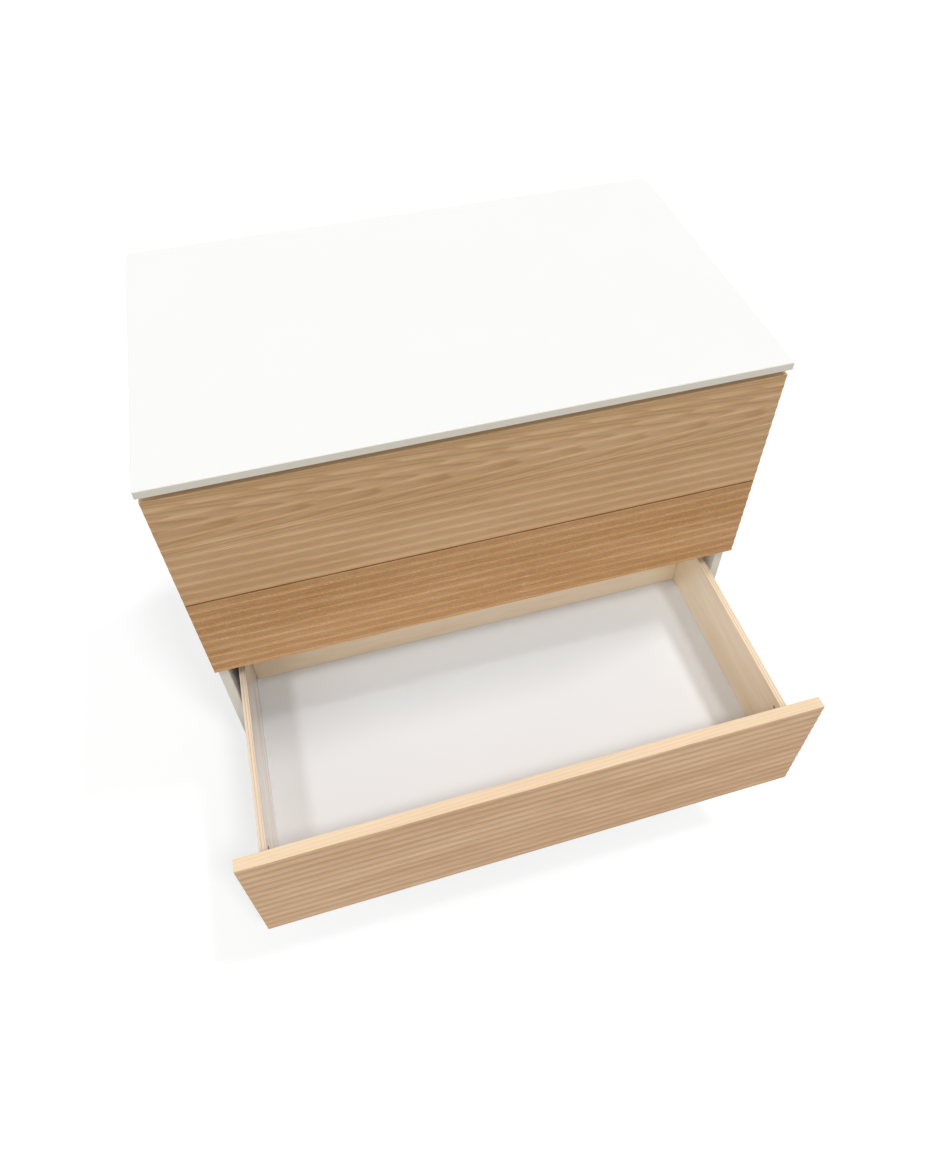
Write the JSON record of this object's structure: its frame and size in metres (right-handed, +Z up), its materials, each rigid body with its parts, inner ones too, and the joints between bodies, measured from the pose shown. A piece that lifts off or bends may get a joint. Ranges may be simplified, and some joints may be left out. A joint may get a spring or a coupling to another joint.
{
  "type": "chest of drawers",
  "caption": "Chest of drawers with a white carcass on turned legs and handle-less hardwood fronts milled in horizontal ripples, running on full-extension telescopic slides.",
  "frame": {"origin": "on the floor, at the middle of the outline of the chest as it stands with the bottom drawer open", "axes": "+X to the viewer's right when facing the fronts, +Y from the fronts to the back, +Z up"},
  "size_m": [1, 0.957, 0.9],
  "materials": {
    "white_lacquer": "satin white lacquer on board",
    "white_melamine": "matte white melamine on thin board",
    "birch_plywood": "clear-oiled birch plywood",
    "turned_hardwood": "oiled turned hardwood",
    "hardwood_front_upper": "oiled milled hardwood, olive tan",
    "hardwood_front_middle": "oiled milled hardwood, reddish tan",
    "hardwood_front_lower": "oiled milled hardwood, pinkish beige",
    "zinc_plated_steel": "zinc plated",
    "nylon_glide": "matte nylon"
  },
  "bodies": {
    "carcass": {"top_panel": "white_lacquer", "left_side_panel": "white_lacquer", "right_side_panel": "white_lacquer", "bottom_panel": "white_lacquer", "back_panel": "white_lacquer", "front_top_rail": "white_lacquer", "rear_top_rail": "white_lacquer", "front_left_leg": "turned_hardwood", "front_right_leg": "turned_hardwood", "rear_left_leg": "turned_hardwood", "rear_right_leg": "turned_hardwood", "front_left_leg_plate": "zinc_plated_steel", "front_right_leg_plate": "zinc_plated_steel", "rear_left_leg_plate": "zinc_plated_steel", "rear_right_leg_plate": "zinc_plated_steel", "front_left_leg_bolt": "zinc_plated_steel", "front_right_leg_bolt": "zinc_plated_steel", "rear_left_leg_bolt": "zinc_plated_steel", "rear_right_leg_bolt": "zinc_plated_steel", "front_left_leg_glide": "nylon_glide", "front_right_leg_glide": "nylon_glide", "rear_left_leg_glide": "nylon_glide", "rear_right_leg_glide": "nylon_glide", "drawer_1_left_slide_outer": "zinc_plated_steel", "drawer_1_right_slide_outer": "zinc_plated_steel", "drawer_2_left_slide_outer": "zinc_plated_steel", "drawer_2_right_slide_outer": "zinc_plated_steel", "drawer_3_left_slide_outer": "zinc_plated_steel", "drawer_3_right_slide_outer": "zinc_plated_steel"},
    "drawer_1": {"drawer_1_front": "hardwood_front_upper", "drawer_1_left_side": "birch_plywood", "drawer_1_right_side": "birch_plywood", "drawer_1_back": "birch_plywood", "drawer_1_bottom": "white_melamine", "drawer_1_left_slide_inner": "zinc_plated_steel", "drawer_1_right_slide_inner": "zinc_plated_steel"},
    "drawer_2": {"drawer_2_front": "hardwood_front_middle", "drawer_2_left_side": "birch_plywood", "drawer_2_right_side": "birch_plywood", "drawer_2_back": "birch_plywood", "drawer_2_bottom": "white_melamine", "drawer_2_left_slide_inner": "zinc_plated_steel", "drawer_2_right_slide_inner": "zinc_plated_steel"},
    "drawer_3": {"drawer_3_front": "hardwood_front_lower", "drawer_3_left_side": "birch_plywood", "drawer_3_right_side": "birch_plywood", "drawer_3_back": "birch_plywood", "drawer_3_bottom": "white_melamine", "drawer_3_left_slide_inner": "zinc_plated_steel", "drawer_3_right_slide_inner": "zinc_plated_steel"},
    "drawer_1_slide_middles": {"drawer_1_left_slide_middle": "zinc_plated_steel", "drawer_1_right_slide_middle": "zinc_plated_steel"},
    "drawer_2_slide_middles": {"drawer_2_left_slide_middle": "zinc_plated_steel", "drawer_2_right_slide_middle": "zinc_plated_steel"},
    "drawer_3_slide_middles": {"drawer_3_left_slide_middle": "zinc_plated_steel", "drawer_3_right_slide_middle": "zinc_plated_steel"}
  },
  "joints": [
    {"name": "drawer_1_slide", "type": "slide", "parent": "carcass", "child": "drawer_1", "axis": [0, -1, 0], "range_m": [0, 0.45]},
    {"name": "drawer_2_slide", "type": "slide", "parent": "carcass", "child": "drawer_2", "axis": [0, -1, 0], "range_m": [0, 0.45]},
    {"name": "drawer_3_slide", "type": "slide", "parent": "carcass", "child": "drawer_3", "axis": [0, -1, 0], "range_m": [-0.357, 0.093]},
    {"name": "drawer_1_middle_slide", "type": "slide", "parent": "carcass", "child": "drawer_1_slide_middles", "axis": [0, -1, 0], "range_m": [0, 0.225]},
    {"name": "drawer_2_middle_slide", "type": "slide", "parent": "carcass", "child": "drawer_2_slide_middles", "axis": [0, -1, 0], "range_m": [0, 0.225]},
    {"name": "drawer_3_middle_slide", "type": "slide", "parent": "carcass", "child": "drawer_3_slide_middles", "axis": [0, -1, 0], "range_m": [-0.1785, 0.0465]}
  ],
  "couplings": [
    {"joint": "drawer_1_middle_slide", "follows": "drawer_1_slide", "ratio": 0.5},
    {"joint": "drawer_2_middle_slide", "follows": "drawer_2_slide", "ratio": 0.5},
    {"joint": "drawer_3_middle_slide", "follows": "drawer_3_slide", "ratio": 0.5}
  ]
}
